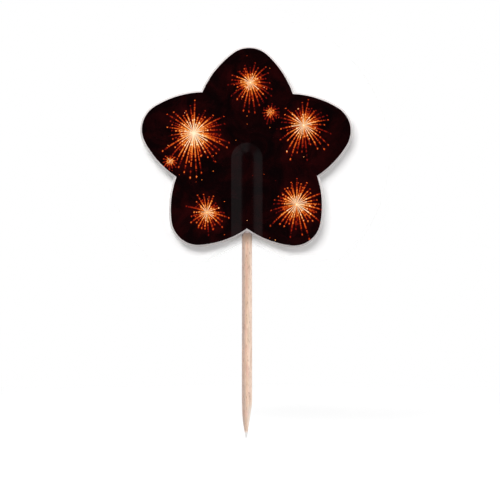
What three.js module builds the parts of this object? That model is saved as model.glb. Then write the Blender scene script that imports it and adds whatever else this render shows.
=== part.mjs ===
// A cupcake pick: two star-shaped cards, glued face to face over the top of a round wooden pick.
// Millimetres. +Z runs up the pick, the printed front card faces -Y, and the origin is the pick's point.
import * as THREE from 'three';
import { mergeVertices } from 'three/addons/utils/BufferGeometryUtils.js';

// The wooden pick
const PICK_LENGTH = 65;
const PICK_DIAMETER = 2.35;
const POINT_LENGTH = 8.6;
const POINT_FULLNESS = 1.55; // exponent of the taper's curve: 1 is a straight cone, 2 a full bullet
const POINT_WEAR_RADIUS = 0.12; // the small flat on the very tip
const TOP_ROUNDING = 0.6; // the blunt end's rounded edge

// The star, measured on the printed face
const STAR_REACH = 24.6; // centre to the tip of a lobe
const NOTCH_REACH = 17.15; // centre to the corner between two lobes
const LOBE_TIP_RADIUS = 6.2;
const LOBE_FLANK_RADIUS = 22;
const CENTRE_ABOVE_PICK_TOP = 0.1;

// The star isn't quite even. Anticlockwise from the lower right lobe, this is how far each lobe's tip and
// the notch before it lie off their even places: turned, in degrees, and further out, in millimetres.
const LOBES = [
  { tipTurn: -0.1, tipOut: -0.1, notchTurn: 0, notchOut: -0.05 },
  { tipTurn: -1.2, tipOut: 0, notchTurn: 0.7, notchOut: -0.3 },
  { tipTurn: -1.6, tipOut: -0.25, notchTurn: -1.3, notchOut: 0.2 },
  { tipTurn: 0.5, tipOut: 0.4, notchTurn: -0.2, notchOut: 0.35 },
  { tipTurn: -1.3, tipOut: 0.05, notchTurn: -0.1, notchOut: -0.15 },
];

// The laminate: card, glue, glue, card
const CARD_THICKNESS = 0.25;
const GLUE_THICKNESS = 0.05; // the coat of glue on each card
const FRONT_CUT_RUN = 0.37; // the cut edge leans: the front card's back is this much wider all round
const BACK_CUT_RUN = 0.08; // behind it the cut is steeper and adds this much

// The ridge that each card makes over the pick
const RIDGE_CREST_RADIUS = 4; // the stiff card bends less tightly than the pick is round
const RIDGE_SLOPE = THREE.MathUtils.degToRad(23.5);
const RIDGE_FOOT_RADIUS = 1;
const RIDGE_END_SETBACK = 0.9; // below the pick's top end, where the ridge begins to round off
const PICK_CLEARANCE = 0.03; // between the pick and the glue under the crest

// Steps along the curves
const TIP_STEPS = 14;
const FLANK_STEPS = 10;
const CREST_STEPS = 4;
const FOOT_STEPS = 3;
const ARCH_STEPS = 16;
const POINT_STEPS = 12;
const ROUNDING_STEPS = 5;
const PICK_SIDES = 30;

const PRINT = { color: '#170607', roughness: 0.32, metalness: 0 };
const PLAIN_CARD = { color: '#f3f0ec', roughness: 0.78, metalness: 0 };
const GLUE = { color: '#e8e0cf', roughness: 0.45, metalness: 0 };
const BIRCH = { color: '#dfbfa9', roughness: 0.68, metalness: 0 };

const FRONT = -1;
const BACK = 1;
const PICK_RADIUS = PICK_DIAMETER / 2;
const STAR_CENTRE_HEIGHT = PICK_LENGTH + CENTRE_ABOVE_PICK_TOP;
const LAMINATE_HALF = CARD_THICKNESS + GLUE_THICKNESS;
const RIDGE_END_HEIGHT = -CENTRE_ABOVE_PICK_TOP - RIDGE_END_SETBACK; // above the star's centre

// A lobe's outline is a tip arc between two flank arcs that run tangent to it and end on the notches.
// These are the centres of the three arcs, in anticlockwise order.
const TIPS = LOBES.map(({ tipTurn, tipOut }, lobe) =>
  polar(STAR_REACH + tipOut - LOBE_TIP_RADIUS, direction(lobe + 0.5, tipTurn)),
);
const NOTCHES = LOBES.map(({ notchTurn, notchOut }, lobe) =>
  polar(NOTCH_REACH + notchOut, direction(lobe, notchTurn)),
);
const LOBE_ARCS = TIPS.map((tip, lobe) => ({
  before: flankCentre(tip, NOTCHES[lobe], 1),
  tip,
  after: flankCentre(tip, NOTCHES[(lobe + 1) % LOBES.length], -1),
}));

// The direction of a place this many lobes anticlockwise of straight down, turned some degrees further.
function direction(lobes, turn) {
  return (lobes * 2 * Math.PI) / LOBES.length - Math.PI / 2 + THREE.MathUtils.degToRad(turn);
}

function polar(radius, angle) {
  return new THREE.Vector2(radius * Math.cos(angle), radius * Math.sin(angle));
}

function heading(from, to) {
  return Math.atan2(to.y - from.y, to.x - from.x);
}

// The centre of the arc from a notch to a tip. Turn is 1 where the tip lies anticlockwise of the notch.
function flankCentre(tip, notch, turn) {
  const toNotch = notch.clone().sub(tip);
  const span = toNotch.length();
  const fromTip = LOBE_FLANK_RADIUS - LOBE_TIP_RADIUS;
  const along = (fromTip ** 2 - LOBE_FLANK_RADIUS ** 2 + span ** 2) / (2 * span);
  const aside = turn * Math.sqrt(fromTip ** 2 - along ** 2);
  const line = toNotch.divideScalar(span);
  return new THREE.Vector2(
    tip.x + line.x * along + line.y * aside,
    tip.y + line.y * along - line.x * aside,
  );
}

// The points of an arc anticlockwise from one angle up to another, without the last one.
function arcPoints(centre, radius, from, to, steps) {
  const turn = THREE.MathUtils.euclideanModulo(to - from, 2 * Math.PI);
  return Array.from({ length: steps }, (_, i) => polar(radius, from + (turn * i) / steps).add(centre));
}

// The corner of the notch before a lobe, where the cut is outset wider than the print.
function notchCorner(lobe, outset) {
  const [from, to] = [LOBE_ARCS[lobe - 1].after, LOBE_ARCS[lobe].before];
  const apart = to.clone().sub(from);
  const half = apart.length() / 2;
  const out = Math.sqrt((LOBE_FLANK_RADIUS + outset) ** 2 - half ** 2);
  const outward = new THREE.Vector2(apart.y, -apart.x).normalize();
  return from.clone().addScaledVector(apart, 0.5).addScaledVector(outward, out);
}

// How high the cut edge of the lower notch lies, at a distance right of the pick's axis.
function notchHeight(x, outset) {
  const radius = LOBE_FLANK_RADIUS + outset;
  const below = (centre) => centre.y - Math.sqrt(radius ** 2 - (x - centre.x) ** 2);
  return Math.min(below(LOBE_ARCS[0].before), below(LOBE_ARCS.at(-1).after));
}

// The star's cut edge beside the ridge, anticlockwise from the ridge's right foot to its left one.
function starEdge(outset, foot) {
  const beside = (x) => new THREE.Vector2(x, notchHeight(x, outset));
  const notches = LOBES.slice(1).map((_, i) => notchCorner(i + 1, outset));
  const ends = [beside(foot), ...notches, beside(-foot)];
  const radius = LOBE_FLANK_RADIUS + outset;
  const points = [];
  LOBE_ARCS.forEach(({ before, tip, after }, lobe) => {
    const arrive = heading(before, tip);
    const leave = heading(after, tip);
    points.push(...arcPoints(before, radius, heading(before, ends[lobe]), arrive, FLANK_STEPS));
    points.push(...arcPoints(tip, LOBE_TIP_RADIUS + outset, arrive, leave, TIP_STEPS));
    points.push(...arcPoints(after, radius, leave, heading(after, ends[lobe + 1]), FLANK_STEPS));
  });
  points.push(ends.at(-1));
  return points;
}

// The ridge's section from crest to foot, on the face that lies rise out from the laminate's middle.
function ridgeSection(rise) {
  const crestHeight = PICK_RADIUS + PICK_CLEARANCE;
  const drop = 1 - Math.cos(RIDGE_SLOPE);
  const flankFall = crestHeight - (RIDGE_CREST_RADIUS + RIDGE_FOOT_RADIUS) * drop;
  const flankRun = flankFall / Math.tan(RIDGE_SLOPE);
  const foot = (RIDGE_CREST_RADIUS + RIDGE_FOOT_RADIUS) * Math.sin(RIDGE_SLOPE) + flankRun;
  const section = [];
  const crestRadius = RIDGE_CREST_RADIUS + rise;
  for (let i = 0; i <= CREST_STEPS; i++) {
    const lean = (RIDGE_SLOPE * i) / CREST_STEPS;
    const height = crestHeight - RIDGE_CREST_RADIUS + crestRadius * Math.cos(lean);
    section.push({ across: crestRadius * Math.sin(lean), height });
  }
  const footRadius = RIDGE_FOOT_RADIUS - rise;
  for (let i = FOOT_STEPS; i >= 0; i--) {
    const lean = (RIDGE_SLOPE * i) / FOOT_STEPS;
    const height = RIDGE_FOOT_RADIUS - footRadius * Math.cos(lean);
    section.push({ across: foot - footRadius * Math.sin(lean), height });
  }
  return section;
}

// How much wider than the print the laminate is cut, at a depth behind the printed face.
function cutOutset(depth) {
  const front = Math.min(depth / CARD_THICKNESS, 1);
  const rest = Math.max(depth - CARD_THICKNESS, 0) / (2 * LAMINATE_HALF - CARD_THICKNESS);
  return FRONT_CUT_RUN * front + BACK_CUT_RUN * rest;
}

// One face of a layer: its triangles, anticlockwise seen from the front, and the loop of its edge.
function laminateFace(side, rise) {
  const outset = cutOutset(LAMINATE_HALF + side * rise);
  const section = ridgeSection(rise);
  const foot = section.at(-1).across;
  const place = (x, z, height) => new THREE.Vector3(x, side * height, z);
  const notchStation = (turn) =>
    section.map(({ across, height }) => place(turn * across, notchHeight(turn * across, outset), height));

  const left = notchStation(-1);
  const right = notchStation(1);
  const stations = [left];
  const archFoot = [];
  for (let i = 0; i <= ARCH_STEPS; i++) {
    const angle = Math.PI * (1 - i / ARCH_STEPS);
    const station = section.map(({ across, height }) =>
      place(across * Math.cos(angle), RIDGE_END_HEIGHT + across * Math.sin(angle), height),
    );
    stations.push(station);
    archFoot.push(new THREE.Vector2(station.at(-1).x, station.at(-1).z));
  }
  stations.push(right);

  const triangles = [];
  for (let i = 0; i + 1 < stations.length; i++) {
    const [low, high] = [stations[i], stations[i + 1]];
    for (let k = 0; k + 1 < section.length; k++) {
      if (!low[k].equals(high[k])) triangles.push([low[k], high[k], high[k + 1]]);
      triangles.push([low[k], high[k + 1], low[k + 1]]);
    }
  }

  const edge = starEdge(outset, foot);
  const flat = [...edge, ...archFoot];
  const at = (point) => place(point.x, point.y, rise);
  for (const [a, b, c] of THREE.ShapeUtils.triangulateShape(flat, [])) {
    const corners = [flat[a], flat[b], flat[c]];
    if (THREE.ShapeUtils.isClockWise(corners)) corners.reverse();
    triangles.push(corners.map(at));
  }
  const loop = [...right, ...edge.slice(1, -1).map(at), ...left.slice(1).reverse()];
  return { triangles, loop };
}

// A closed layer between its front and back faces, with the cut edge all round.
function layer(name, look, front, back) {
  const triangles = [...front.triangles, ...back.triangles.map(([a, b, c]) => [a, c, b])];
  const count = front.loop.length;
  for (let i = 0; i < count; i++) {
    const next = (i + 1) % count;
    triangles.push([front.loop[next], front.loop[i], back.loop[i]]);
    triangles.push([front.loop[next], back.loop[i], back.loop[next]]);
  }
  const geometry = new THREE.BufferGeometry().setFromPoints(triangles.flat());
  return finished(name, look, geometry);
}

function finished(name, look, geometry) {
  geometry.deleteAttribute('normal');
  geometry.deleteAttribute('uv');
  const closed = mergeVertices(geometry);
  closed.computeVertexNormals();
  const mesh = new THREE.Mesh(closed, new THREE.MeshStandardMaterial(look));
  mesh.name = name;
  return mesh;
}

// The pick's outline from its point up to its blunt top end.
function woodenPick() {
  const outline = [new THREE.Vector2(0, 0)];
  for (let i = 0; i < POINT_STEPS; i++) {
    const grown = 1 - (1 - i / POINT_STEPS) ** POINT_FULLNESS;
    const radius = THREE.MathUtils.lerp(POINT_WEAR_RADIUS, PICK_RADIUS, grown);
    outline.push(new THREE.Vector2(radius, (POINT_LENGTH * i) / POINT_STEPS));
  }
  outline.push(new THREE.Vector2(PICK_RADIUS, POINT_LENGTH));
  const round = new THREE.Vector2(PICK_RADIUS - TOP_ROUNDING, PICK_LENGTH - TOP_ROUNDING);
  outline.push(...arcPoints(round, TOP_ROUNDING, 0, Math.PI / 2, ROUNDING_STEPS));
  outline.push(new THREE.Vector2(round.x, PICK_LENGTH), new THREE.Vector2(0, PICK_LENGTH));
  const geometry = new THREE.LatheGeometry(outline, PICK_SIDES).rotateX(Math.PI / 2);
  return finished('wooden_pick', BIRCH, geometry);
}

// The faces of the laminate, from the print to the plain back, and the four layers between them.
// The two middle faces touch where the laminate is flat and part round the pick.
function star() {
  const print = laminateFace(FRONT, LAMINATE_HALF);
  const behindPrint = laminateFace(FRONT, GLUE_THICKNESS);
  const frontMiddle = laminateFace(FRONT, 0);
  const backMiddle = laminateFace(BACK, 0);
  const behindPlain = laminateFace(BACK, GLUE_THICKNESS);
  const plain = laminateFace(BACK, LAMINATE_HALF);
  const group = new THREE.Group().add(
    layer('front_card', PRINT, print, behindPrint),
    layer('front_glue_film', GLUE, behindPrint, frontMiddle),
    layer('back_glue_film', GLUE, backMiddle, behindPlain),
    layer('back_card', PLAIN_CARD, behindPlain, plain),
  );
  group.position.z = STAR_CENTRE_HEIGHT;
  return group;
}

export default new THREE.Group().add(woodenPick(), star());
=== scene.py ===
"""A cupcake pick: a printed star of two bonded cards on a round birch pick, in a plain white studio."""
import math
from collections import namedtuple

import bpy
import numpy as np
from bpy.props import FloatProperty, FloatVectorProperty, IntProperty, PointerProperty
from bpy.types import Operator, Panel, PropertyGroup
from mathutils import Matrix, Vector, noise
from mathutils.geometry import delaunay_2d_cdt


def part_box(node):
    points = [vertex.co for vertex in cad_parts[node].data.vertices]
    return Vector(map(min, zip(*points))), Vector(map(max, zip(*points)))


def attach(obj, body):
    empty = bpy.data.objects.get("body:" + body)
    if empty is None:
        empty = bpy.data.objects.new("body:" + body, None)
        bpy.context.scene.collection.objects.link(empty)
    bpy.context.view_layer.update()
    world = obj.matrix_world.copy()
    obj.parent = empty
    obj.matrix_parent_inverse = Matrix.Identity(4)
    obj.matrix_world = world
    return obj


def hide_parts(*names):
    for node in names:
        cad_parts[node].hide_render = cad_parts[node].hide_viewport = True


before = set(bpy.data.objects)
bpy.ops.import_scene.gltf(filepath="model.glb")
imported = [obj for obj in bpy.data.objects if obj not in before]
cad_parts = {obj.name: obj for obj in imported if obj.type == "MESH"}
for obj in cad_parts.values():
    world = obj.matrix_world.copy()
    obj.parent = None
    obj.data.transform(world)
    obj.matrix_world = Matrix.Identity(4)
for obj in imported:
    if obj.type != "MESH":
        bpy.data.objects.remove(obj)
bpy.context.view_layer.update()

bl_info = {
    "name": "Cupcake pick",
    "version": (1, 0, 0),
    "blender": (4, 5, 0),
    "location": "View3D > Sidebar > Cupcake pick",
    "description": "Builds a star-shaped cupcake pick and the studio it stands in",
    "category": "Add Mesh",
}

MM = 0.001
LOBES = 5
PITCH = 2 * math.pi / LOBES
FRONT, BACK = -1, 1
BODY = "root"

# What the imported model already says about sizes
PICK_LOW, PICK_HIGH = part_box("wooden_pick")
FRONT_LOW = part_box("front_card")[0]
BACK_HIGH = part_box("back_card")[1]


def colour(code):
    """A colour written as six hex digits, as the scene-linear numbers that shaders take."""
    parts = [int(code[i:i + 2], 16) / 255 for i in (0, 2, 4)]
    return tuple(c / 12.92 if c <= 0.04045 else ((c + 0.055) / 1.055) ** 2.4 for c in parts)


def length(name, description, default):
    return FloatProperty(name=name, description=description, default=default, unit="LENGTH", precision=5)


def slant(name, description, degrees):
    return FloatProperty(
        name=name, description=description, default=math.radians(degrees), subtype="ANGLE")


def share(name, description, default):
    return FloatProperty(
        name=name, description=description, default=default, subtype="FACTOR", min=0, max=1)


def amount(name, description, default):
    return FloatProperty(name=name, description=description, default=default)


def whole(name, description, default):
    return IntProperty(name=name, description=description, default=default, min=1)


def tint(name, description, code):
    return FloatVectorProperty(
        name=name, description=description, default=colour(code), subtype="COLOR", size=3, min=0, max=1)


def subgroup(kind, name, description):
    return PointerProperty(type=kind, name=name, description=description)


def turns(name, description, *degrees):
    """One angle for each lobe, anticlockwise from the lower right one."""
    default = [math.radians(turn) for turn in degrees]
    return FloatVectorProperty(
        name=name, description=description, default=default, size=LOBES, unit="ROTATION")


def shifts(name, description, *millimetres):
    """One length for each lobe, anticlockwise from the lower right one."""
    default = [shift * MM for shift in millimetres]
    return FloatVectorProperty(
        name=name, description=description, default=default, size=LOBES, unit="LENGTH")


class StarSize(PropertyGroup):
    above_pick: length("Above the pick", "From the pick's blunt end up to the star's centre", 0.1 * MM)
    reach: length("Reach", "Star's centre to the tip of a lobe, on the print", 24.6 * MM)
    notch_reach: length("Notch reach", "Star's centre to the corner between two lobes", 17.15 * MM)
    tip_radius: length("Tip radius", "Radius of the arc at the tip of a lobe", 6.2 * MM)
    flank_radius: length("Flank radius", "Radius of the arc along each side of a lobe", 22 * MM)
    tip_turns: turns("Tip turns", "Turn of each tip off its even place", -0.1, -1.2, -1.6, 0.5, -1.3)
    tip_outs: shifts("Tip shifts", "How much further out each tip is", -0.1, 0, -0.25, 0.4, 0.05)
    notch_turns: turns("Notch turns", "Turn of the notch before each lobe", 0, 0.7, -1.3, -0.2, -0.1)
    notch_outs: shifts("Notch shifts", "How much further out it is", -0.05, -0.3, 0.2, 0.35, -0.15)
    grid: length("Grid", "Spacing of the mesh points inside the card", 1.2 * MM)
    tip_steps: whole("Tip steps", "Mesh steps round a lobe's tip", 26)
    flank_steps: whole("Flank steps", "Mesh steps along a lobe's side", 26)


class LaminateSize(PropertyGroup):
    card: length("Card", "Thickness of each card", 0.25 * MM)
    glue: length("Glue", "Thickness of each coat of glue", 0.05 * MM)
    front_cut_run: length("Front cut run", "How much the cut widens through the front card", 0.37 * MM)
    back_cut_run: length("Back cut run", "How much it widens behind the front card", 0.08 * MM)
    roll: length("Edge roll", "How far the cutting die presses a face down at its edge", 0.03 * MM)
    roll_width: length("Edge roll width", "Width of that pressed edge", 0.15 * MM)
    rough_cut: length("Rough cut", "Unevenness of the cut paper edge", 0.012 * MM)
    warp: length("Warp", "Slight waviness of the card away from the ridge", 0.07 * MM)
    warp_span: length("Warp span", "Distance from one wave of the card to the next", 17 * MM)


class RidgeSize(PropertyGroup):
    crest_radius: length("Crest radius", "How tightly the card bends over the pick", 4 * MM)
    slope: slant("Slope", "Steepness of the ridge's flanks", 23.5)
    foot_radius: length("Foot radius", "Radius of the bend where the ridge meets the flat card", 1 * MM)
    end_setback: length("End setback", "From the pick's top down to the ridge's round end", 0.9 * MM)
    crest_steps: whole("Crest steps", "Mesh steps over half the crest", 7)
    flank_steps: whole("Flank steps", "Mesh steps down a flank", 3)
    foot_steps: whole("Foot steps", "Mesh steps round the foot", 5)
    arch_steps: whole("Arch steps", "Mesh steps round the ridge's end", 32)
    along_steps: whole("Steps along", "Mesh steps along the ridge", 18)


class PickSize(PropertyGroup):
    point_length: length("Point length", "Length of the tapered point", 8.6 * MM)
    point_fullness: amount("Point fullness", "1 is a straight cone, 2 a full bullet", 1.55)
    point_wear: length("Point wear", "Radius of the small flat on the very tip", 0.12 * MM)
    point_lean: length("Point lean", "How far the tip is off the pick's axis", 0.2 * MM)
    top_rounding: length("Top rounding", "Radius of the blunt end's edge", 0.6 * MM)
    groove: length("Groove", "Depth of the grain's grooves", 0.022 * MM)
    sides: whole("Sides", "Mesh steps round the pick", 72)
    step: length("Step", "Mesh step along the shank", 0.8 * MM)
    point_steps: whole("Point steps", "Mesh steps along the point", 34)
    rounding_steps: whole("Rounding steps", "Mesh steps round the blunt end's edge", 8)


class PrintLook(PropertyGroup):
    ground: tint("Ground", "Darkest ink between the fireworks", "090203")
    haze: tint("Haze", "Dark smoke behind the fireworks", "2b0607")
    ember: tint("Ember", "Deep red of the dying sparks", "8e1809")
    flame: tint("Flame", "Orange of the middle of a burst", "e4641b")
    gold: tint("Gold", "Gold of the streaks near the core", "ffb452")
    core: tint("Core", "Cream of the brightest cores", "fff1d2")
    roughness: share("Roughness", "Roughness of the gloss coating", 0.25)


class CardLook(PropertyGroup):
    white: tint("White", "Plain back of the card", "f4f1ee")
    shade: tint("Shade", "Faint clouding of the plain back", "e6e2de")
    cut: tint("Cut", "Bare paper at the cut edge", "ddd8d7")
    fibre: tint("Fibre", "Darker fibres in the cut edge", "c6bcbb")
    glue: tint("Glue", "Dried glue", "ebe5de")


# Tints of the birch and its glue. Some are painted light and painted shade, on the pick's sides and right
# below the star.
class WoodLook(PropertyGroup):
    pale: tint("Pale", "Palest birch", "fad8c0")
    tan: tint("Tan", "Tan patches", "dfc0a5")
    blush: tint("Blush", "Pinkish patches", "eec2b0")
    # Painted light and painted shade, not growth rings: the right side of the pick is tinted paler and the
    # left side darker and greyer.
    painted_light_side: tint("Sapwood", "Paler, whiter wood of the growth ring on one side", "ffe9d8")
    painted_shade_side: tint("Dense wood", "Darker, greyer wood of the growth ring on the other side", "b19e96")
    streak: tint("Streak", "Darker lengthwise streaks", "d0a68c")
    fleck: tint("Fleck", "Short dark flecks and pores", "9c7460")
    # Darker wood below the star: partly a glue stain and partly painted shadow of the card.
    glue_stain_and_shadow: tint("Glue-soaked", "Wood that soaked up glue below the star", "947a69")
    # Painted shadow of the card's edge on the pick, with a grey glue line in it.
    seam: tint("Seam", "Grey glue line on the wood right below the card's edge", "746a6a")
    # Pale glue at the card's edge, also painted light that lifts the shade on the pick's sides there.
    bead_and_painted_light: tint("Glue bead", "Pale dried glue on the wood along the card's edge", "cbbcbb")
    # Paler wood down the taper, with painted light: it is stronger on the pick's right side.
    pared_and_lit: tint("Pared wood", "Paler, freshly cut wood of the sharpened taper", "fdf2e8")
    worn: tint("Worn point", "Greyer wood at the worn point", "e9e7e6")


class StudioSettings(PropertyGroup):
    frame_width: length("Frame width", "Width of the view at the pick", 114.85 * MM)
    aim_right: length("Aim right", "How far right of the pick the view is centred", 0.69 * MM)
    aim_height: length("Aim height", "Height at which the view is centred", 43.07 * MM)
    lens: FloatProperty(name="Lens", description="Focal length", default=120, unit="CAMERA")
    lamp_level: amount("Lamp level", "Share of plain light that the lamps give", 1)
    ambient: amount("Ambient", "Radiance of the room beside the object", 0.46)
    front_dark: amount("Front", "Radiance of the dark room behind the camera", 0.01)
    floor_radius: length("Floor radius", "Radius of the round floor", 180 * MM)
    floor_plain: length("Plain floor", "Where the floor begins to even out to white", 60 * MM)
    floor_even: length("Even floor", "Where it has evened out", 150 * MM)
    sheet_half: length("Sheet", "Half the side of the sheet behind the star", 36 * MM)
    sheet_gap: length("Sheet gap", "From the back ridge to the sheet behind the star", 0.1 * MM)
    sheet_fade: length("Sheet fade", "Where the sheet begins to clear, from the star's centre", 29 * MM)
    sheet_clear: length("Sheet clear", "Where it has cleared", 34 * MM)
    floor_tone: tint("Floor", "Matt white of the floor", "b4b4b4")
    floor_lift: amount("Floor lift", "What the floor adds to the lamps' light, to the camera", 0.39)
    sheet_tone: tint("Sheet", "Matt white of the sheet", "faf9f9")
    sheet_lift: amount("Sheet lift", "What the sheet adds to the lamps' light, to the camera", 0.1)


class CupcakePickSettings(PropertyGroup):
    star: subgroup(StarSize, "Star", "Outline of the star")
    laminate: subgroup(LaminateSize, "Laminate", "Cards, glue and cut edge")
    ridge: subgroup(RidgeSize, "Ridge", "Bulge of the cards over the pick")
    pick: subgroup(PickSize, "Pick", "The wooden pick")
    print_look: subgroup(PrintLook, "Print", "Inks and gloss coating")
    card_look: subgroup(CardLook, "Card", "Paper and glue")
    wood_look: subgroup(WoodLook, "Wood", "Birch and the glue on it")
    studio: subgroup(StudioSettings, "Studio", "Camera, lamps, floor and sheet")


def settings():
    return bpy.context.scene.cupcake_pick


# Shader nodes

class Wire:
    """A socket in a node tree. Arithmetic on it adds Math nodes, so shader maths reads as Python."""

    def __init__(self, shader, socket):
        self.shader = shader
        self.socket = socket

    def math(self, operation, *others, clamp=False):
        return self.shader.math(operation, self, *others, clamp=clamp)

    def __add__(self, other):
        return self.math("ADD", other)

    def __sub__(self, other):
        return self.math("SUBTRACT", other)

    def __rsub__(self, other):
        return self.shader.math("SUBTRACT", other, self)

    def __mul__(self, other):
        return self.math("MULTIPLY", other)

    def __truediv__(self, other):
        return self.math("DIVIDE", other)

    def __rtruediv__(self, other):
        return self.shader.math("DIVIDE", other, self)

    def __pow__(self, other):
        return self.math("POWER", other)

    def __rpow__(self, other):
        return self.shader.math("POWER", other, self)

    def __abs__(self):
        return self.math("ABSOLUTE")

    __radd__ = __add__
    __rmul__ = __mul__

    def rise(self, low, high):
        """0 below low, 1 above high and a smooth step between. With high below low it falls instead."""
        ends = {"Value": self, "From Min": low, "From Max": high}
        return self.shader.add("ShaderNodeMapRange", {"interpolation_type": "SMOOTHSTEP"}, ends)


class Shader:
    """A material's or the world's node tree, filled by add()."""

    def __init__(self, tree):
        self.tree = tree
        self.tree.nodes.clear()

    def add(self, kind, options=None, values=None, output=0):
        """A node of a type: its options first, then its sockets' values or links. Returns one output."""
        node = self.tree.nodes.new(kind)
        for key, value in (options or {}).items():
            if key == "stops":
                self.set_stops(node.color_ramp.elements, value)
            else:
                setattr(node, key, value)
        for key, value in (values or {}).items():
            if isinstance(value, Wire):
                self.tree.links.new(value.socket, node.inputs[key])
            else:
                node.inputs[key].default_value = value
        return Wire(self, node.outputs[output]) if len(node.outputs) else node

    def set_stops(self, elements, stops):
        while len(elements) < len(stops):
            elements.new(1)
        for element, (place, shade) in zip(elements, stops):
            element.position = place
            element.color = (*shade, 1)

    def math(self, operation, *values, clamp=False):
        options = {"operation": operation, "use_clamp": clamp}
        return self.add("ShaderNodeMath", options, dict(enumerate(values)))

    def millimetres(self):
        """The object's own X, Y and Z, in millimetres."""
        point = self.add("ShaderNodeTexCoord", output="Object")
        return self.add("ShaderNodeVectorMath", {"operation": "SCALE"}, {0: point, "Scale": 1 / MM})

    def rays(self, *kinds):
        """The light path's outputs of these names, which tell what kind of ray sees the surface."""
        return [self.add("ShaderNodeLightPath", output=kind) for kind in kinds]

    def split(self, vector):
        return [self.add("ShaderNodeSeparateXYZ", None, {0: vector}, output=axis) for axis in "XYZ"]

    def join(self, x=0.0, y=0.0, z=0.0):
        return self.add("ShaderNodeCombineXYZ", None, {0: x, 1: y, 2: z})

    def cloud(self, vector, scale, detail=2.0, roughness=0.5, distortion=0.0):
        values = {"Vector": vector, "Scale": scale, "Detail": detail, "Roughness": roughness,
                  "Distortion": distortion}
        return self.add("ShaderNodeTexNoise", None, values)

    def luck(self, value):
        """A random number from 0 to 1, always the same one for the same value."""
        return self.add("ShaderNodeTexWhiteNoise", {"noise_dimensions": "1D"}, {"W": value})

    def blend(self, factor, first, second):
        """The first colour where the factor is 0, and the second where it is 1."""
        values = {0: factor, 6: self.rgba(first), 7: self.rgba(second)}
        return self.add("ShaderNodeMix", {"data_type": "RGBA"}, values, output=2)

    def rgba(self, shade):
        return shade if isinstance(shade, Wire) else (*shade, 1)

    def bump(self, height, strength, distance):
        values = {"Height": height, "Strength": strength, "Distance": distance}
        return self.add("ShaderNodeBump", None, values)

    def surface(self, **values):
        """Ends the tree in one Principled shader with these sockets."""
        named = {key.replace("_", " "): value for key, value in values.items()}
        named["Base Color"] = self.rgba(named["Base Color"])
        shaded = self.add("ShaderNodeBsdfPrincipled", None, named)
        self.add("ShaderNodeOutputMaterial", None, {0: shaded})


def new_material(name):
    material = bpy.data.materials.new(name)
    material.use_nodes = True
    return material, Shader(material.node_tree)


# Finishes

Burst = namedtuple("Burst", "right up radius")
Shell = namedtuple("Shell", "rays longest strength")

# Fireworks on the print: their places from the star's centre and their radii, in millimetres
BURSTS = (
    Burst(-12.2, 4.8, 8.6), Burst(13.0, 6.6, 6.9), Burst(-9.2, -13.4, 5.2), Burst(11.4, -11.6, 7.2),
    Burst(0.8, 16.4, 5.6), Burst(5.4, 9.6, 2.4), Burst(-17.6, -1.6, 1.9))
# Each firework is three shells of streaks: shares of its count of rays, its radius and its heat
SHELLS = (Shell(1.0, 1.0, 1.0), Shell(0.7, 0.7, 0.85), Shell(1.3, 0.42, 0.9))
RAYS_PER_MM = 3.2
LEAST_RAYS = 7
STREAK_WIDTH = 0.26  # half of a streak's width, in millimetres
STREAK_SPREAD = 0.34  # the most of its share of the turn that a streak takes near the core
DROOP = 0.16  # how far the streaks' ends fall, in shares of the radius
SPARK_CELL = 1.3  # millimetres from one loose spark to the next


def nearest_firework(shader, right, up):
    """The nearest firework: right, up and distance from its centre in shares of its radius, and radius."""
    nearest = None
    for burst in BURSTS:
        across, above = (right - burst.right) / burst.radius, (up - burst.up) / burst.radius
        reach = (across * across + above * above) ** 0.5
        found = (across, above, reach, burst.radius)
        if nearest is None:
            nearest = found
            continue
        closer = reach.math("LESS_THAN", nearest[2])
        nearest = tuple(closer * (new - old) + old for new, old in zip(found, nearest))
    return nearest


def shell_streaks(shader, reach, angle, radius, number):
    """One shell of a firework: thin trails that break up outwards, each with a spark at its end.

    What is added to a streak's number before luck() only keeps the draws of fireworks and shells apart.
    """
    shell = SHELLS[number]
    rays = (radius * (RAYS_PER_MM * shell.rays) + LEAST_RAYS * shell.rays).math("ROUND")
    turn = angle * rays / (2 * math.pi) + rays + 0.37 * number
    spoke = turn.math("FLOOR")
    fate = shader.luck(spoke + radius * 17.3 + 0.31 * number)
    sway = shader.luck(spoke + radius * 23.9 + 0.47 * number)
    end = (fate * 0.45 + 0.55) * shell.longest
    gap = abs(turn - spoke - 0.3 - sway * 0.4)
    aside = gap * reach * (2 * math.pi) / rays
    along = reach / end
    width = STREAK_WIDTH / radius
    off = (aside / width).math("MAXIMUM", gap / STREAK_SPREAD)
    line = (1 - off).math("MAXIMUM", 0) * (1.15 - along * 0.7)
    crackle = shader.cloud(shader.join(reach * 26, spoke * 7.7), 1.0, detail=1.0).rise(0.3, 0.55)
    broken = crackle + along.rise(0.75, 0.3) * (1 - crackle)
    trail = line * broken * reach.rise(0.01, 0.1) * along.rise(1.0, 0.82)
    tip = ((reach - end) * (reach - end) + aside * aside) ** 0.5
    spark = (1.2 - tip / width * 1.2).math("MAXIMUM", 0, clamp=True) * (sway * 0.7 + 0.3)
    return (trail * (sway * 0.5 + 0.5) + spark * 0.8) * shell.strength


def fireworks(shader, right, up):
    """The heat of the fireworks, and the glow that they cast on the smoke round them.

    Each has a small hot core in a wider shine, with its streaks round it, and a larger one is hotter.
    """
    across, above, reach, radius = nearest_firework(shader, right, up)
    above = above + reach * reach * DROOP
    reach = (across * across + above * above) ** 0.5
    angle = above.math("ARCTAN2", across)
    heat = (reach * reach * -420).math("EXPONENT") * 0.9 + (reach * -9).math("EXPONENT") * 0.4
    for number in range(len(SHELLS)):
        heat = heat + shell_streaks(shader, reach, angle, radius, number)
    return heat * (radius * 0.045 + 0.51), (reach * -2.4).math("EXPONENT")


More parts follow.
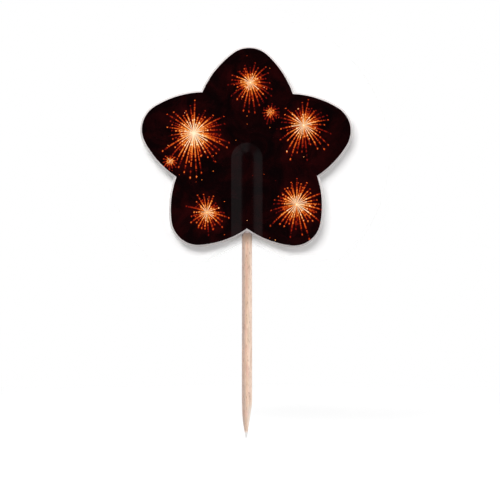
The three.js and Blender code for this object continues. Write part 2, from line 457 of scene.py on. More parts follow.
def loose_sparks(shader, flat, glow):
    """Scattered sparks, one at most in each cell of a random pattern and more of them near a firework."""
    where = {"Vector": flat, "Scale": 1 / SPARK_CELL, "Randomness": 1.0}
    away = shader.add("ShaderNodeTexVoronoi", {"voronoi_dimensions": "2D"}, where)
    cell = shader.add("ShaderNodeTexVoronoi", {"voronoi_dimensions": "2D"}, where, output="Color")
    chance, size, hot = [
        shader.add("ShaderNodeSeparateColor", None, {0: cell}, output=channel)
        for channel in ("Red", "Green", "Blue")]
    lit = chance.math("LESS_THAN", glow * 0.3 + 0.02)
    return (away - size * 0.06).rise(0.08, 0.01) * lit * (hot * 0.6 + 0.25)


def printed_card(look):
    """Gloss-coated print: gold and orange fireworks over a near-black maroon night."""
    material, shader = new_material("satin_print")
    point = shader.millimetres()
    right, _, height = shader.split(point)
    up = height - star_height() / MM
    heat, glow = fireworks(shader, right, up)
    flat = shader.join(right, up)
    smoke = shader.cloud(flat, 0.17, detail=6.0, roughness=0.62, distortion=0.9)
    grit = shader.cloud(flat, 1.1, detail=4.0, roughness=0.7)
    warmth = smoke.rise(0.36, 0.8) * (glow * 0.42 + 0.045) * (grit * 0.9 + 0.4)
    sparks = loose_sparks(shader, flat, glow)
    stops = ((0.0, look.ground), (0.09, look.haze), (0.27, look.ember), (0.5, look.flame),
             (0.74, look.gold), (1.0, look.core))
    ink = shader.add("ShaderNodeValToRGB", {"stops": stops}, {0: heat + sparks + warmth})
    peel = shader.cloud(point, 2.4, detail=2.0)
    rub = shader.cloud(point, 0.35, detail=4.0, roughness=0.65)
    shader.surface(
        Base_Color=ink, Roughness=rub * 0.12 + (look.roughness - 0.06), Specular_IOR_Level=0.1,
        Normal=shader.bump(peel, 0.12, 0.006 * MM))
    return material


def cut_paper(look):
    """Bare paper where the die cut through: short fibres lying along the layers."""
    material, shader = new_material("cut_paper")
    right, depth, height = shader.split(shader.millimetres())
    along = shader.join(right, depth * 14.0, height)
    layers = shader.cloud(along, 2.6, detail=4.0, roughness=0.7)
    tufts = shader.cloud(shader.join(right, depth * 2.0, height), 9.0, detail=3.0, roughness=0.75)
    mottle = (layers * 0.6 + tufts * 0.5).rise(0.42, 0.78)
    shader.surface(
        Base_Color=shader.blend(mottle, look.cut, look.fibre), Roughness=0.9, Specular_IOR_Level=0.25,
        Normal=shader.bump(layers + tufts, 0.6, 0.02 * MM))
    return material


def plain_card(look):
    """Uncoated white back: very faint cloudy formation, fine tooth and short pressed fibres."""
    material, shader = new_material("plain_card")
    point = shader.millimetres()
    right, _, height = shader.split(point)
    cloudy = shader.cloud(point, 0.7, detail=6.0, roughness=0.7)
    tooth = shader.cloud(point, 9.0, detail=4.0, roughness=0.7)
    leaning = shader.join(right * 0.9 + height * 0.4, 0.0, height * 5.0 - right * 2.0)
    hairs = shader.cloud(leaning, 1.3, detail=3.0, distortion=1.6).rise(0.62, 0.7)
    mottle = cloudy.rise(0.3, 0.8) * 0.22 + tooth.rise(0.3, 0.75) * 0.22 + hairs * 0.14
    shader.surface(
        Base_Color=shader.blend(mottle, look.white, look.shade), Roughness=tooth * 0.15 + 0.72,
        Specular_IOR_Level=0.3, Normal=shader.bump(tooth + hairs * 0.5, 0.5, 0.012 * MM))
    return material


def dried_glue(look):
    """Dried clear glue: slightly yellow, with small bubbles and drawn-out threads."""
    material, shader = new_material("dried_glue")
    point = shader.millimetres()
    bubble = shader.add("ShaderNodeTexVoronoi", None, {"Vector": point, "Scale": 3.2})
    flow = shader.cloud(point, 1.2, detail=3.0, distortion=1.0)
    tone = shader.blend(flow.rise(0.3, 0.7), look.glue, look.fibre)
    shader.surface(
        Base_Color=tone, Roughness=flow * 0.3 + 0.3, Specular_IOR_Level=0.5,
        Normal=shader.bump(bubble + flow, 0.4, 0.03 * MM))
    return material


# Where along the grain each cloud of the birch starts, which picks its pattern
STREAKS_START = 15.72
PATCHES_START = 47.88
BLUSH_START = 8.87
DASHES_START = 23.12
# Glue, painted shadow and painted light on the birch: how far below the card's edge each mark begins and
# is full, in millimetres
SOAK_AND_SHADOW = (3.45, 0.75)
SHADOW_SEAM = (2.1, 0.8)
BEAD_AND_PAINTED_LIGHT = (1.1, 0.6)
DRIPS_AND_PAINTED_LIGHT = (1.1, 0.2)


def birch(look):
    """Sanded birch with painted light and shade: paler on its right side and darker and greyer on its
    left, darkened below the star by glue and painted shadow, paler down its taper and grey at the tip.
    """
    material, shader = new_material("sanded_birch")
    point = shader.millimetres()
    right, depth, height = shader.split(point)

    def grain(across, along, start=0.0):
        """A place in the wood, drawn out along the grain."""
        return shader.join(right * across, depth * across, height * along + start)

    streaks = shader.cloud(grain(1, 0.04, STREAKS_START), 2.1, detail=5.0, roughness=0.6, distortion=0.4)
    patches = shader.cloud(grain(1.5, 0.3, PATCHES_START), 1.0, detail=3.0, distortion=0.6)
    blush = shader.cloud(grain(1.3, 0.26, BLUSH_START), 1.0, detail=2.0, distortion=0.5)
    fine = shader.cloud(grain(1, 0.07), 8.0, detail=3.0, roughness=0.7)
    dashes = shader.cloud(grain(2, 0.5, DASHES_START), 1.7, detail=2.0, roughness=0.6)
    pores = shader.cloud(grain(2.4, 0.3), 6.5, detail=1.0)
    tone = shader.blend(patches.rise(0.4, 0.6), look.pale, look.tan)
    tone = shader.blend(blush.rise(0.46, 0.6) * 0.8, tone, look.blush)
    # Left to right across the pick, mixed with the streaks. The right side gets painted light, a paler
    # tint, and the left side painted shade, a darker and greyer tint.
    across = right + streaks * 0.9 - 0.45
    tone = shader.blend(across.rise(-0.1, 1.0) * 0.85, tone, look.painted_light_side)
    tone = shader.blend(across.rise(0.12, -0.9) * 0.93, tone, look.painted_shade_side)
    tone = shader.blend(streaks.rise(0.44, 0.68) * 0.6 + fine.rise(0.5, 0.74) * 0.25, tone, look.streak)
    tone = shader.blend(dashes.rise(0.58, 0.68) * 0.55 + pores.rise(0.66, 0.76) * 0.4, tone, look.fleck)
    tone = glue_and_painted_shading(shader, look, tone, right, height, streaks)
    tone = point_marks_and_side_light(shader, look, tone, height, across, fine)
    shader.surface(
        Base_Color=tone, Roughness=fine * 0.2 + 0.55, Specular_IOR_Level=0.35,
        Normal=shader.bump(streaks + fine * 0.7 - dashes * 0.4, 0.7, 0.03 * MM))
    return material


def glue_and_painted_shading(shader, look, tone, right, height, streaks):
    """The birch's tone at the card's edge: darker below it from glue and painted shadow, a grey glue line
    in the painted shadow right under it, and pale glue that also paints light into the shade at the pick's
    sides.
    """
    collar = (star_height() - settings().star.notch_reach) / MM

    def near_edge(spot, mark):
        begins, full = mark
        return spot.rise(collar - begins, collar - full)

    # Glue stain and painted shadow of the card, fading down the pick from its edge
    soaked = near_edge(height + streaks * 1.4, SOAK_AND_SHADOW)
    tone = shader.blend(soaked * 0.86, tone, look.glue_stain_and_shadow)
    side = abs(right)
    # Painted shadow right under the card's edge, across the middle of the pick, with a grey glue line
    seam = near_edge(height, SHADOW_SEAM) * side.rise(0.6, 0.3) * 0.65
    tone = shader.blend(seam, tone, look.seam)
    # Pale glue at the pick's sides under the card's edge, also painted light that lifts the real shade
    # there
    drips_and_painted_light = near_edge(height + side * 0.8, DRIPS_AND_PAINTED_LIGHT) * side.rise(0.45, 0.8)
    bead_and_painted_light = near_edge(height, BEAD_AND_PAINTED_LIGHT).math("MAXIMUM", drips_and_painted_light)
    return shader.blend(bead_and_painted_light, tone, look.bead_and_painted_light)


def point_marks_and_side_light(shader, look, tone, height, across, fine):
    """The birch's tone with the taper paler, more so on the pick's right side as painted light, and its
    tip worn grey.
    """
    taper = settings().pick.point_length / MM
    # Paler cut wood down the taper, partly painted light: the side mask makes it strongest on the right
    pared_and_lit = height.rise(taper, taper - 3) * across.rise(-0.5, 0.9) * 0.65
    tone = shader.blend(pared_and_lit, tone, look.pared_and_lit)
    worn = (height + fine * 1.6).rise(2.5, 1.6)
    return shader.blend(worn, tone, look.worn)


# The star's shape. A point of the flat star is a complex number: right, then up from the star's centre.

def star_height():
    return PICK_HIGH.z + settings().star.above_pick


def spin(angle):
    return complex(math.cos(angle), math.sin(angle))


def direction(lobes, turn):
    """The direction this many lobes anticlockwise of straight down, turned a little further."""
    return spin(lobes * PITCH - math.pi / 2 + turn)


def heading(start, end):
    return math.atan2((end - start).imag, (end - start).real)


def arc(centre, radius, start, end, steps):
    """Points anticlockwise from one angle up to another, without the last one."""
    turn = (end - start) % (2 * math.pi)
    return [centre + radius * spin(start + turn * i / steps) for i in range(steps)]


# The centres of a lobe's three arcs: the flank before its tip, the tip, and the flank after it
Lobe = namedtuple("Lobe", "before tip after")


class Outline:
    """The star's cut edge: each lobe is a tip arc between two flank arcs that run tangent to it."""

    def __init__(self, star):
        self.star = star
        tips = [(star.reach + out - star.tip_radius) * direction(lobe + 0.5, turn)
                for lobe, (turn, out) in enumerate(zip(star.tip_turns, star.tip_outs))]
        notches = [(star.notch_reach + out) * direction(lobe, turn)
                   for lobe, (turn, out) in enumerate(zip(star.notch_turns, star.notch_outs))]
        self.lobes = [Lobe(self.flank_centre(tip, before, 1), tip, self.flank_centre(tip, after, -1))
                      for tip, before, after in zip(tips, notches, notches[1:] + notches[:1])]

    def flank_centre(self, tip, notch, turn):
        """The centre of the arc from a notch to a tip. Turn is 1 if that goes anticlockwise, else -1."""
        radius, span = self.star.flank_radius, abs(notch - tip)
        from_tip = radius - self.star.tip_radius
        along = (from_tip ** 2 - radius ** 2 + span ** 2) / (2 * span)
        aside = turn * math.sqrt(from_tip ** 2 - along ** 2)
        return tip + (notch - tip) / span * complex(along, -aside)

    def notch_corner(self, lobe, outset):
        """The corner of the notch before a lobe, where the cut is outset wider than the print."""
        first, second = self.lobes[lobe - 1].after, self.lobes[lobe].before
        apart = second - first
        out = math.sqrt((self.star.flank_radius + outset) ** 2 - (abs(apart) / 2) ** 2)
        return (first + second) / 2 - apart / abs(apart) * 1j * out

    def notch_height(self, right, outset):
        """How high the cut edge of the lower notch lies, at a distance right of the pick's axis."""
        radius = self.star.flank_radius + outset
        return min(centre.imag - math.sqrt(radius ** 2 - (right - centre.real) ** 2)
                   for centre in (self.lobes[0].before, self.lobes[-1].after))

    def edge(self, outset, foot):
        """The cut edge beside the ridge, anticlockwise from the ridge's right foot to its left one."""
        star = self.star
        right_foot, left_foot = [complex(x, self.notch_height(x, outset)) for x in (foot, -foot)]
        ends = [right_foot, *(self.notch_corner(lobe, outset) for lobe in range(1, LOBES)), left_foot]
        radius = star.flank_radius + outset
        points = []
        for (before, tip, after), start, end in zip(self.lobes, ends, ends[1:]):
            arrive, leave = heading(before, tip), heading(after, tip)
            points += arc(before, radius, heading(before, start), arrive, star.flank_steps)
            points += arc(tip, star.tip_radius + outset, arrive, leave, star.tip_steps)
            points += arc(after, radius, leave, heading(after, end), star.flank_steps)
        return points + [left_foot]


def smooth(part):
    """0 up to 0, 1 from 1 on, and a smooth step between."""
    part = min(1.0, max(0.0, part))
    return part * part * (3 - 2 * part)


def crest_height():
    """How far the laminate's middle is raised over the pick."""
    laminate = settings().laminate
    return -FRONT_LOW.y - laminate.card - laminate.glue


def ridge_section(ridge, crest, rise):
    """(across, height) from crest to foot, on the face that lies rise out from the laminate's middle."""
    bend = ridge.crest_radius + ridge.foot_radius
    fall = crest - bend * (1 - math.cos(ridge.slope))
    foot = bend * math.sin(ridge.slope) + fall / math.tan(ridge.slope)
    section = []
    radius = ridge.crest_radius + rise
    for i in range(ridge.crest_steps + 1):
        lean = ridge.slope * i / ridge.crest_steps
        section.append((radius * math.sin(lean), crest - ridge.crest_radius + radius * math.cos(lean)))
    radius = ridge.foot_radius - rise
    top = section[-1]
    bottom = (foot - radius * math.sin(ridge.slope), ridge.foot_radius - radius * math.cos(ridge.slope))
    for i in range(1, ridge.flank_steps):
        part = i / ridge.flank_steps
        section.append(tuple(a + (b - a) * part for a, b in zip(top, bottom)))
    for i in range(ridge.foot_steps, -1, -1):
        lean = ridge.slope * i / ridge.foot_steps
        section.append((foot - radius * math.sin(lean), ridge.foot_radius - radius * math.cos(lean)))
    return section


INSETS = (0, 0.2, 0.5, 1, 4)  # rings of mesh in from the cut, in shares of the rolled edge's width
WARP_CALM = 6 * MM  # how far from the ridge the cards' waviness takes to grow
ROW_RISE = math.sqrt(0.75)  # from one row of a triangular grid to the next, in shares of its spacing
GRID_CLEARANCE = 0.55  # from the grid to the border round it, in the same shares


class StarSheet:
    """The mesh of one face of the laminate. All faces share one topology, so the layers nest exactly."""

    def __init__(self):
        group = settings()
        self.star, self.laminate, self.ridge = group.star, group.laminate, group.ridge
        self.half = self.laminate.card + self.laminate.glue
        self.crest = crest_height()
        self.ridge_end = PICK_HIGH.z - self.ridge.end_setback - star_height()
        self.insets = [self.laminate.roll_width * part for part in INSETS]
        self.outline = Outline(group.star)
        self.section = ridge_section(self.ridge, self.crest, 0)
        self.columns = len(self.section) - 1
        self.foot = self.section[-1][0]
        self.edge_count = len(self.outline.edge(0, self.foot))
        self.loop_count = self.edge_count + 2 * self.columns - 1
        rows = self.stations()
        self.foot_line = [row[-1] for row in rows]
        self.flat_start = max(max(row) for row in rows) + 1
        self.flats = []
        self.faces = self.ring_faces() + self.ridge_faces(rows) + self.flat_faces()

    def loop(self, outset, section):
        """The loop of points at one outset of the cut, with each point's height out from the middle."""
        rise = section[-1][1]
        notch = self.outline.notch_height
        points = [(complex(a, notch(a, outset)), h) for a, h in section[:-1]]
        points += [(p, rise) for p in self.outline.edge(outset, self.foot)]
        points += [(complex(-a, notch(-a, outset)), h) for a, h in section[-2:0:-1]]
        return points

    def ring_index(self, ring, i):
        return ring * self.loop_count + i % self.loop_count

    def ring_faces(self):
        last = len(self.insets) - 1
        at = self.ring_index
        return [(at(ring, i), at(ring, i + 1), at(ring + 1, i + 1), at(ring + 1, i))
                for ring in range(last) for i in range(self.loop_count)]

    def stations(self):
        """Rows of vertices from the crest to the foot: up the left side, round the end and down again."""
        last, columns = len(self.insets) - 1, self.columns
        steps, arch = self.ridge.along_steps, self.ridge.arch_steps
        first = len(self.insets) * self.loop_count
        crest = [first + t for t in range(steps)]
        body = first + steps
        left_edge = self.edge_count + 2 * columns - 1
        rows = [[self.ring_index(last, left_edge - k) for k in range(columns + 1)]]
        middle = [crest[t - 1] for t in range(1, steps)] + [crest[-1]] * (arch + 1)
        middle += [crest[t - 1] for t in range(steps - 1, 0, -1)]
        for row, start in enumerate(middle):
            rows.append([start] + [body + row * columns + k for k in range(columns)])
        rows.append([self.ring_index(last, k) for k in range(columns + 1)])
        return rows

    def ridge_faces(self, rows):
        faces = []
        for low, high in zip(rows, rows[1:]):
            for k in range(self.columns):
                corners = (low[k], high[k], high[k + 1], low[k + 1])
                faces.append(corners if low[k] != high[k] else corners[1:])
        return faces

    def grid_spots(self):
        """Points of a triangular grid that covers the star."""
        reach, grid = self.star.reach, self.star.grid
        spots = []
        for row in range(int(2 * reach / (grid * ROW_RISE)) + 2):
            up = -reach + row * grid * ROW_RISE + star_height()
            start = -reach + (row % 2) * grid / 2
            spots += [(start + i * grid, up) for i in range(int(2 * reach / grid) + 2)]
        return np.array(spots)

    def flat_faces(self):
        """Places the points between the innermost ring and the ridge's foot. Returns their triangles."""
        last = len(self.insets) - 1
        edge = [self.ring_index(last, self.columns + i) for i in range(self.edge_count)]
        border = edge + self.foot_line[1:-1]
        bare = self.points(FRONT, self.half)
        outline = np.array([(bare[i].x, bare[i].z) for i in border])
        spots = self.inside(self.grid_spots(), outline, self.star.grid * GRID_CLEARANCE)
        self.flats = [complex(x, z - star_height()) for x, z in spots]
        points = [Vector(p) for p in outline] + [Vector(p) for p in spots]
        ring = [(i, (i + 1) % len(border)) for i in range(len(border))]
        _, _, triangles, origins, _, _ = delaunay_2d_cdt(points, ring, [], 1, 1e-9)
        numbers = border + [self.flat_start + i for i in range(len(spots))]
        faces = []
        for triangle in triangles:
            corners = [origins[v][0] for v in triangle]
            a, b, c = (points[v] for v in corners)
            turned = (b - a).cross(c - a) < 0
            faces.append(tuple(numbers[v] for v in (reversed(corners) if turned else corners)))
        return faces

    @staticmethod
    def inside(spots, outline, margin):
        """The spots inside a closed outline and at least margin from it."""
        nexts = np.roll(outline, -1, axis=0)
        x, z = spots[:, :1], spots[:, 1:]
        (ax, az), (bx, bz) = outline.T, nexts.T
        straddles = (az > z) != (bz > z)
        rise = np.where(bz == az, 1e-12, bz - az)
        crossing = straddles & (x < (bx - ax) * (z - az) / rise + ax)
        side_x, side_z = bx - ax, bz - az
        along = np.clip(((x - ax) * side_x + (z - az) * side_z) / (side_x ** 2 + side_z ** 2), 0, 1)
        apart = np.hypot(x - ax - along * side_x, z - az - along * side_z).min(axis=1)
        return spots[(crossing.sum(axis=1) % 2 == 1) & (apart > margin)]

    def warp(self, point):
        """Slight waviness of the whole laminate, none at the ridge."""
        apart = self.ridge_distance(point) - self.foot
        if apart <= 0:
            return 0.0
        span = self.laminate.warp_span
        wave = noise.noise(Vector((point.real / span, 7.3, point.imag / span)))
        curl = (abs(point) / self.star.reach) ** 4 * 0.5
        return self.laminate.warp * smooth(apart / WARP_CALM) * (wave * 1.6 + curl)

    def ridge_distance(self, point):
        """How far a point is from the line under the crest."""
        above = max(0.0, point.imag - self.ridge_end)
        return math.hypot(point.real, above)

    def cut_outset(self, depth):
        """How much wider than the print the laminate is cut, at a depth behind the printed face."""
        laminate = self.laminate
        front = min(depth / laminate.card, 1)
        rest = max(depth - laminate.card, 0) / (2 * self.half - laminate.card)
        return laminate.front_cut_run * front + laminate.back_cut_run * rest

    def points(self, side, rise, rolled=False):
        """Every vertex of the face that lies rise out on one side."""
        section = ridge_section(self.ridge, self.crest, rise)
        outset = self.cut_outset(self.half + side * rise)
        spots = self.ring_spots(outset, section, rolled)
        spots += self.ridge_spots(outset - self.insets[-1], section)
        spots += [(p, rise) for p in self.flats]
        centre = star_height()
        return [Vector((p.real, side * h + self.warp(p), p.imag + centre)) for p, h in spots]

    def ring_spots(self, outset, section, rolled):
        """Points of the rings along the cut, sunk towards it where the die rolled the face down."""
        laminate = self.laminate
        spots = []
        for inset in self.insets:
            short = max(0.0, 1 - inset / laminate.roll_width)
            sink = laminate.roll * short * short if rolled else 0.0
            spots += [(p, h - sink) for p, h in self.loop(outset - inset, section)]
        return spots

    def ridge_spots(self, outset, section):
        """Points of the ridge: its crest line, then rows up its left side, round its end and down."""
        end, steps, arch = self.ridge_end, self.ridge.along_steps, self.ridge.arch_steps

        def along(across, step):
            low = self.outline.notch_height(across, outset)
            return complex(across, low + (end - low) * step / steps)

        spots = [(along(0, step), section[0][1]) for step in range(1, steps + 1)]
        for step in range(1, steps):
            spots += [(along(-a, step), h) for a, h in section[1:]]
        for i in range(arch + 1):
            turn = spin(math.pi * (1 - i / arch))
            spots += [(complex(0, end) + a * turn, h) for a, h in section[1:]]
        for step in range(steps - 1, 0, -1):
            spots += [(along(a, step), h) for a, h in section[1:]]
        return spots


CARD_RIM_STEPS = 5  # mesh steps through a card's cut edge
CUT_GRAIN = 0.35 * MM  # from one bump of the cut edge to the next


def rim_loop(front, back, part, rough, seed):
    """The loop of points this part of the way from the front to the back of a cut rim, roughened."""
    centre = Vector((0, 0, star_height()))
    loop = []
    for near, far in zip(front, back):
        spot = near.lerp(far, part)
        outward = (spot - centre).normalized()
        loop.append(spot + outward * rough * noise.noise(spot / CUT_GRAIN + seed))
    return loop


def layer(name, sheet, front, back, materials, face_slots, rim_steps=2, rough=0.0, seed=0):
    """A closed layer between two faces, with a cut rim. face_slots are the front's, rim's and back's."""
    count = sheet.loop_count
    points = list(front)
    starts = [0]
    for step in range(1, rim_steps):
        starts.append(len(points))
        place = Vector((seed, step, 0))
        points += rim_loop(front[:count], back[:count], step / rim_steps, rough, place)
    shift = len(points)
    points += back
    faces = [*sheet.faces, *(tuple(shift + v for v in reversed(face)) for face in sheet.faces)]
    for outer, inner in zip(starts, [*starts[1:], shift]):
        for i in range(count):
            n = (i + 1) % count
            faces.append((outer + n, outer + i, inner + i, inner + n))
    front_slot, rim_slot, back_slot = face_slots
    flat = len(sheet.faces)
    slots = [front_slot] * flat + [back_slot] * flat + [rim_slot] * (len(faces) - 2 * flat)
    piece = new_piece(name, points, faces, materials)
    piece.data.polygons.foreach_set("material_index", slots)
    mark_sharp(piece, {0, shift}, count)
    return piece


def mark_sharp(piece, starts, count):
    """Keeps the cut's two outer edges crisp: the first loops of the front and of the back face."""
    for edge in piece.data.edges:
        a, b = edge.vertices
        edge.use_edge_sharp = any(s <= a < s + count and s <= b < s + count for s in starts)


def new_piece(name, points, faces, materials):
    mesh = bpy.data.meshes.new(name)
    mesh.from_pydata(points, [], faces)
    for material in materials:
        mesh.materials.append(material)
    mesh.polygons.foreach_set("use_smooth", [True] * len(mesh.polygons))
    if mesh.validate():
        raise RuntimeError(f"the mesh of {name} has faulty faces")
    piece = bpy.data.objects.new(name, mesh)
    bpy.context.scene.collection.objects.link(piece)
    return piece


def stand_for(piece, node):
    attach(piece, BODY)
    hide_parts(node)


TAPER_CROWDING = 1.25  # above 1, the rings of the taper crowd towards its tip
TIP_FLAT = 0.55  # share of the worn tip that is quite flat
TOP_FADE = 0.8  # how much of the grooves' depth is gone at the top of the blunt end


def pick_rings(size):
    """(radius, height, share of the grooves' depth) up the pick, from its worn point to its blunt top."""
    radius = (PICK_HIGH.y - PICK_LOW.y) / 2
    top = PICK_HIGH.z
    rings = [(size.point_wear * TIP_FLAT, 0.0, 0.0)]
    for i in range(1, size.point_steps):
        part = (i / size.point_steps) ** TAPER_CROWDING
        grown = 1 - (1 - part) ** size.point_fullness
        across = size.point_wear + (radius - size.point_wear) * grown
        rings.append((across, size.point_length * part, grown))
    shank = top - size.top_rounding - size.point_length
    count = int(shank / size.step)
    rings += [(radius, size.point_length + shank * i / count, 1.0) for i in range(count)]
    for i in range(size.rounding_steps + 1):
        lean = math.pi / 2 * i / size.rounding_steps
        across = radius - size.top_rounding * (1 - math.cos(lean))
        height = top - size.top_rounding * (1 - math.sin(lean))
        rings.append((across, height, 1 - TOP_FADE * i / size.rounding_steps))
    return rings


class CUPCAKEPICK_OT_wooden_pick(Operator):
    """Make the round birch pick, with grain grooves, a worn point and a rounded blunt end"""
    bl_idname = "cupcake_pick.wooden_pick"
    bl_label = "Wooden pick"

    def execute(self, context):
        size = settings().pick
        sides, rings = size.sides, pick_rings(size)
        points = [self.spot(size, ring, side) for ring in rings for side in range(sides)]
        bottom, top = len(points), len(points) + 1
        last = bottom - sides
        points += [Vector((-size.point_lean, 0, PICK_LOW.z)), Vector((0, 0, PICK_HIGH.z))]
        nexts = [(i, (i + 1) % sides) for i in range(sides)]
        faces = [(low + i, low + n, low + sides + n, low + sides + i)
                 for low in range(0, last, sides) for i, n in nexts]
        for i, n in nexts:
            faces += [(bottom, n, i), (top, last + i, last + n)]
        piece = new_piece("birch_pick", points, faces, [birch(settings().wood_look)])
        stand_for(piece, "wooden_pick")
        return {"FINISHED"}

    def spot(self, size, ring, side):
        """The point of a ring on one of the pick's sides, sunk into the groove there."""
        radius, height, depth = ring
        turn = spin(2 * math.pi * side / size.sides)
        across = turn * (radius - self.groove(turn, height) * size.groove * depth)
        lean = size.point_lean * self.bend(height / size.point_length)
        return Vector((across.real - lean, across.imag, height))

    @staticmethod
    def bend(part):
        """How much of its lean the taper has: none where it starts, all of it over the last two fifths."""
        return smooth((1 - part) / 0.6)

    @staticmethod
    def groove(turn, height):
        """0 to 1: sparse grooves that run along the grain and wander a little."""
        drift = turn * spin(0.12 * math.sin(height / (19 * MM)))
        fine = noise.noise(Vector((drift.real * 7, drift.imag * 7, height / (9 * MM))))
        broad = noise.noise(Vector((drift.real * 2.2, drift.imag * 2.2, height / (22 * MM) + 40)))
        return min(1.0, max(0.0, 0.35 + fine * 0.9 + broad * 0.5))


class CUPCAKEPICK_OT_cards(Operator):
    """Make the printed front card and the plain back card, ridged over the pick"""
    bl_idname = "cupcake_pick.cards"
    bl_label = "Cards"

    def execute(self, context):
        group = settings()
        sheet = StarSheet()
        glue, half = group.laminate.glue, sheet.half
        cut = cut_paper(group.card_look)
        edge = {"rim_steps": CARD_RIM_STEPS, "rough": group.laminate.rough_cut}
        front = layer(
            "front_card_printed", sheet, sheet.points(FRONT, half, rolled=True),
            sheet.points(FRONT, glue), [printed_card(group.print_look), cut], (0, 1, 1), seed=3, **edge)
        stand_for(front, "front_card")
        back = layer(
            "back_card_plain", sheet, sheet.points(BACK, glue),
            sheet.points(BACK, half, rolled=True), [plain_card(group.card_look), cut], (1, 1, 0),
            seed=11, **edge)
        stand_for(back, "back_card")
        return {"FINISHED"}


class CUPCAKEPICK_OT_glue(Operator):
    """Make the two coats of glue between the cards"""
    bl_idname = "cupcake_pick.glue"
    bl_label = "Glue"

    def execute(self, context):
        group = settings()
        sheet = StarSheet()
        thick = group.laminate.glue
        material = dried_glue(group.card_look)
        for name, node, near, far in (
            ("front_glue_coat", "front_glue_film", sheet.points(FRONT, thick), sheet.points(FRONT, 0)),
            ("back_glue_coat", "back_glue_film", sheet.points(BACK, 0), sheet.points(BACK, thick)),
        ):
            piece = layer(name, sheet, near, far, [material], (0, 0, 0))
            stand_for(piece, node)
        return {"FINISHED"}


# The studio

Lamp = namedtuple("Lamp", "name azimuth elevation distance wide tall level glare")

# Soft boxes round the star: degrees right of the camera and up, metres from it, metres wide and tall,
# share of plain light, and whether gloss shows them
LAMPS = (
    Lamp("key_box", -25, 42, 0.6, 0.55, 0.28, 1.02, False),
    Lamp("top_strip", -12, 48, 0.6, 0.3, 0.1, 0.03, True),
    Lamp("right_box", 82, 5, 0.55, 0.8, 0.8, 0.88, True),
    Lamp("left_box", -43, 5, 0.55, 0.18, 0.8, 0.16, True),
    Lamp("rear_key_box", 165, 50, 0.6, 0.8, 0.4, 0.66, True),
    Lamp("rear_right_box", 125, 5, 0.55, 0.4, 0.8, 0.15, True),
    Lamp("rear_left_box", -122, 5, 0.55, 0.5, 0.8, 0.3, True),
)
FLOOR_SIDES = 96


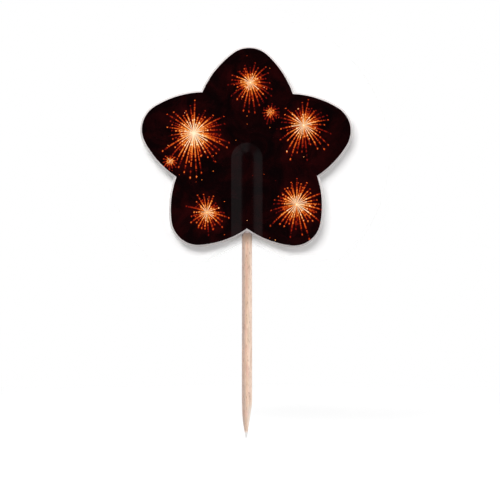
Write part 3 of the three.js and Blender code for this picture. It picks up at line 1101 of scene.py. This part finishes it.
class CUPCAKEPICK_OT_studio(Operator):
    """Set up the camera, the soft boxes, the white floor and the white sheet close behind the star"""
    bl_idname = "cupcake_pick.studio"
    bl_label = "Studio"

    def execute(self, context):
        studio = settings().studio
        scene = context.scene
        self.camera(scene, studio)
        for lamp in LAMPS:
            self.lamp(scene, lamp, studio.lamp_level)
        self.world(scene, studio)
        self.floor(studio)
        self.sheet(studio)
        scene.view_settings.view_transform = "Standard"
        return {"FINISHED"}

    @staticmethod
    def camera(scene, studio):
        data = bpy.data.cameras.new("camera")
        data.lens = studio.lens
        data.clip_start = 0.01
        away = studio.frame_width * studio.lens / data.sensor_width
        camera = bpy.data.objects.new("camera", data)
        camera.location = (studio.aim_right, -away, studio.aim_height)
        camera.rotation_euler = (math.pi / 2, 0, 0)
        scene.collection.objects.link(camera)
        scene.camera = camera

    @staticmethod
    def lamp(scene, lamp, level):
        data = bpy.data.lights.new(lamp.name, "AREA")
        data.shape = "RECTANGLE"
        data.size = lamp.wide
        data.size_y = lamp.tall
        # At this power, a white face turned to the box shows as bright as its level
        data.energy = math.pi ** 2 * lamp.distance ** 2 * lamp.level * level
        elevation = spin(math.radians(lamp.elevation))
        across = spin(math.radians(lamp.azimuth - 90)) * elevation.real
        towards = Vector((across.real, across.imag, elevation.imag))
        box = bpy.data.objects.new(lamp.name, data)
        box.location = Vector((0, 0, star_height())) + towards * lamp.distance
        box.rotation_euler = towards.to_track_quat("Z", "Y").to_euler()
        box.visible_glossy = lamp.glare
        scene.collection.objects.link(box)

    @staticmethod
    def world(scene, studio):
        """White to the camera. It lights the object dimly, and hardly at all from behind the camera.

        Of a direction, back is -1 towards the camera's side, 0 beside the object and 1 behind it.
        """
        world = bpy.data.worlds.new("studio")
        world.use_nodes = True
        scene.world = world
        shader = Shader(world.node_tree)
        ray = shader.add("ShaderNodeTexCoord", output="Generated")
        _, back, _ = shader.split(ray)
        room = back.rise(-0.85, -0.35) * (studio.ambient - studio.front_dark) + studio.front_dark
        camera, glossy, through = shader.rays("Is Camera Ray", "Is Glossy Ray", "Is Transmission Ray")
        mirrored = glossy * back.rise(0.0, 0.5)
        white = camera.math("MAXIMUM", through).math("MAXIMUM", mirrored)
        strength = room * (1 - white) + white
        glow = shader.add("ShaderNodeBackground", None, {"Color": (1, 1, 1, 1), "Strength": strength})
        shader.add("ShaderNodeOutputWorld", None, {0: glow})

    @staticmethod
    def white(name, shade, lift):
        """Matt white that adds lift to the lamps' light, to the camera and in mirrors and glass only."""
        material, shader = new_material(name)
        camera, glossy, through = shader.rays("Is Camera Ray", "Is Glossy Ray", "Is Transmission Ray")
        seen = camera.math("MAXIMUM", glossy).math("MAXIMUM", through)
        matt = shader.add("ShaderNodeBsdfDiffuse", None, {"Color": shader.rgba(shade)})
        glow = shader.add("ShaderNodeEmission", None, {"Strength": seen * lift})
        return material, shader, seen, shader.add("ShaderNodeAddShader", None, {0: matt, 1: glow})

    def floor(self, studio):
        """A round white floor. Towards its rim it evens out to the white round it."""
        material, shader, seen, shaded = self.white("white_floor", studio.floor_tone, studio.floor_lift)
        right, back, _ = shader.split(shader.millimetres())
        far = ((right * right + back * back) ** 0.5).rise(studio.floor_plain / MM, studio.floor_even / MM)
        even = shader.add("ShaderNodeEmission", None, {"Strength": seen})
        shaded = shader.add("ShaderNodeMixShader", None, {0: far, 1: shaded, 2: even})
        shader.add("ShaderNodeOutputMaterial", None, {0: shaded})
        rim = [studio.floor_radius * spin(2 * math.pi * i / FLOOR_SIDES) for i in range(FLOOR_SIDES)]
        corners = [(p.real, p.imag, 0) for p in rim]
        floor = new_piece("floor", corners, [tuple(range(FLOOR_SIDES))], [material])

    def sheet(self, studio):
        """A white sheet close behind the star takes its soft shadow.

        The camera sees it from the front only, and only round the star, where that shadow falls. It keeps
        the rear lamps' light from coming back to it off the star, as a real sheet would, but lets that
        light through to the star's back.
        """
        material, shader, _, shaded = self.white("white_sheet", studio.sheet_tone, studio.sheet_lift)
        camera, shadow, bounces = shader.rays("Is Camera Ray", "Is Shadow Ray", "Diffuse Depth")
        behind = shader.add("ShaderNodeNewGeometry", output="Backfacing")
        # A shadow ray after one bounce, or any ray after two
        later = (bounces + shadow).math("GREATER_THAN", 1.5)
        solid = camera * (1 - behind) * (1 - self.bare(shader, studio)) + (1 - camera) * later
        clear = shader.add("ShaderNodeBsdfTransparent")
        shaded = shader.add("ShaderNodeMixShader", None, {0: solid, 1: clear, 2: shaded})
        shader.add("ShaderNodeOutputMaterial", None, {0: shaded})
        depth = BACK_HIGH.y + studio.sheet_gap
        corners = [(right * studio.sheet_half, depth, star_height() + up * studio.sheet_half)
                   for right, up in ((-1, -1), (1, -1), (1, 1), (-1, 1))]
        sheet = new_piece("white_sheet", corners, [(0, 1, 2, 3)], [material])
        for ray in ("glossy", "transmission", "volume_scatter"):
            setattr(sheet, f"visible_{ray}", False)

    @staticmethod
    def bare(shader, studio):
        """Where the sheet is clear: far from the star, below its shadow, and well inside its outline."""
        star = settings().star
        right, _, height = shader.split(shader.millimetres())
        up = height - star_height() / MM
        reach = (right * right + up * up) ** 0.5
        away = reach.rise(studio.sheet_fade / MM, studio.sheet_clear / MM)
        # It clears from 17.4 to 21 mm below the centre at the pick, and up to 4.5 mm lower beside it
        below = (up + abs(right).math("MINIMUM", 9) * 0.5).rise(-17.4, -21)
        # A rosette stands for the star's outline, and the sheet clears from 86 to 78 percent of it
        lobes = (up.math("ARCTAN2", right) * LOBES).math("SINE")
        middle, swing = (star.reach + star.notch_reach) / 2, (star.reach - star.notch_reach) / 2
        inside = (reach / (lobes * (swing / MM) + middle / MM)).rise(0.86, 0.78)
        return away.math("MAXIMUM", below).math("MAXIMUM", inside)


class CUPCAKEPICK_PT_parts(Panel):
    """The pick's pieces, and the sizes and colours that a user may change"""
    bl_idname = "CUPCAKEPICK_PT_parts"
    bl_label = "Cupcake pick"
    bl_space_type = "VIEW_3D"
    bl_region_type = "UI"
    bl_category = "Cupcake pick"

    def draw(self, context):
        for operator in OPERATORS:
            self.layout.operator(operator.bl_idname)
        group = context.scene.cupcake_pick
        for name in group.bl_rna.properties.keys():
            part = getattr(group, name)
            if not isinstance(part, PropertyGroup):
                continue
            box = self.layout.box()
            box.label(text=group.bl_rna.properties[name].name)
            for key in part.bl_rna.properties.keys():
                if key not in ("rna_type", "name"):
                    box.prop(part, key)


OPERATORS = (CUPCAKEPICK_OT_studio, CUPCAKEPICK_OT_wooden_pick, CUPCAKEPICK_OT_cards, CUPCAKEPICK_OT_glue)
GROUPS = (StarSize, LaminateSize, RidgeSize, PickSize, PrintLook, CardLook, WoodLook, StudioSettings,
          CupcakePickSettings)


def register():
    for kind in (*GROUPS, *OPERATORS, CUPCAKEPICK_PT_parts):
        bpy.utils.register_class(kind)
    bpy.types.Scene.cupcake_pick = PointerProperty(type=CupcakePickSettings)


def unregister():
    del bpy.types.Scene.cupcake_pick
    for kind in reversed((*GROUPS, *OPERATORS, CUPCAKEPICK_PT_parts)):
        bpy.utils.unregister_class(kind)


def main():
    register()
    bpy.ops.cupcake_pick.studio()
    bpy.ops.cupcake_pick.wooden_pick()
    bpy.ops.cupcake_pick.cards()
    bpy.ops.cupcake_pick.glue()


if __name__ == "__main__":
    main()
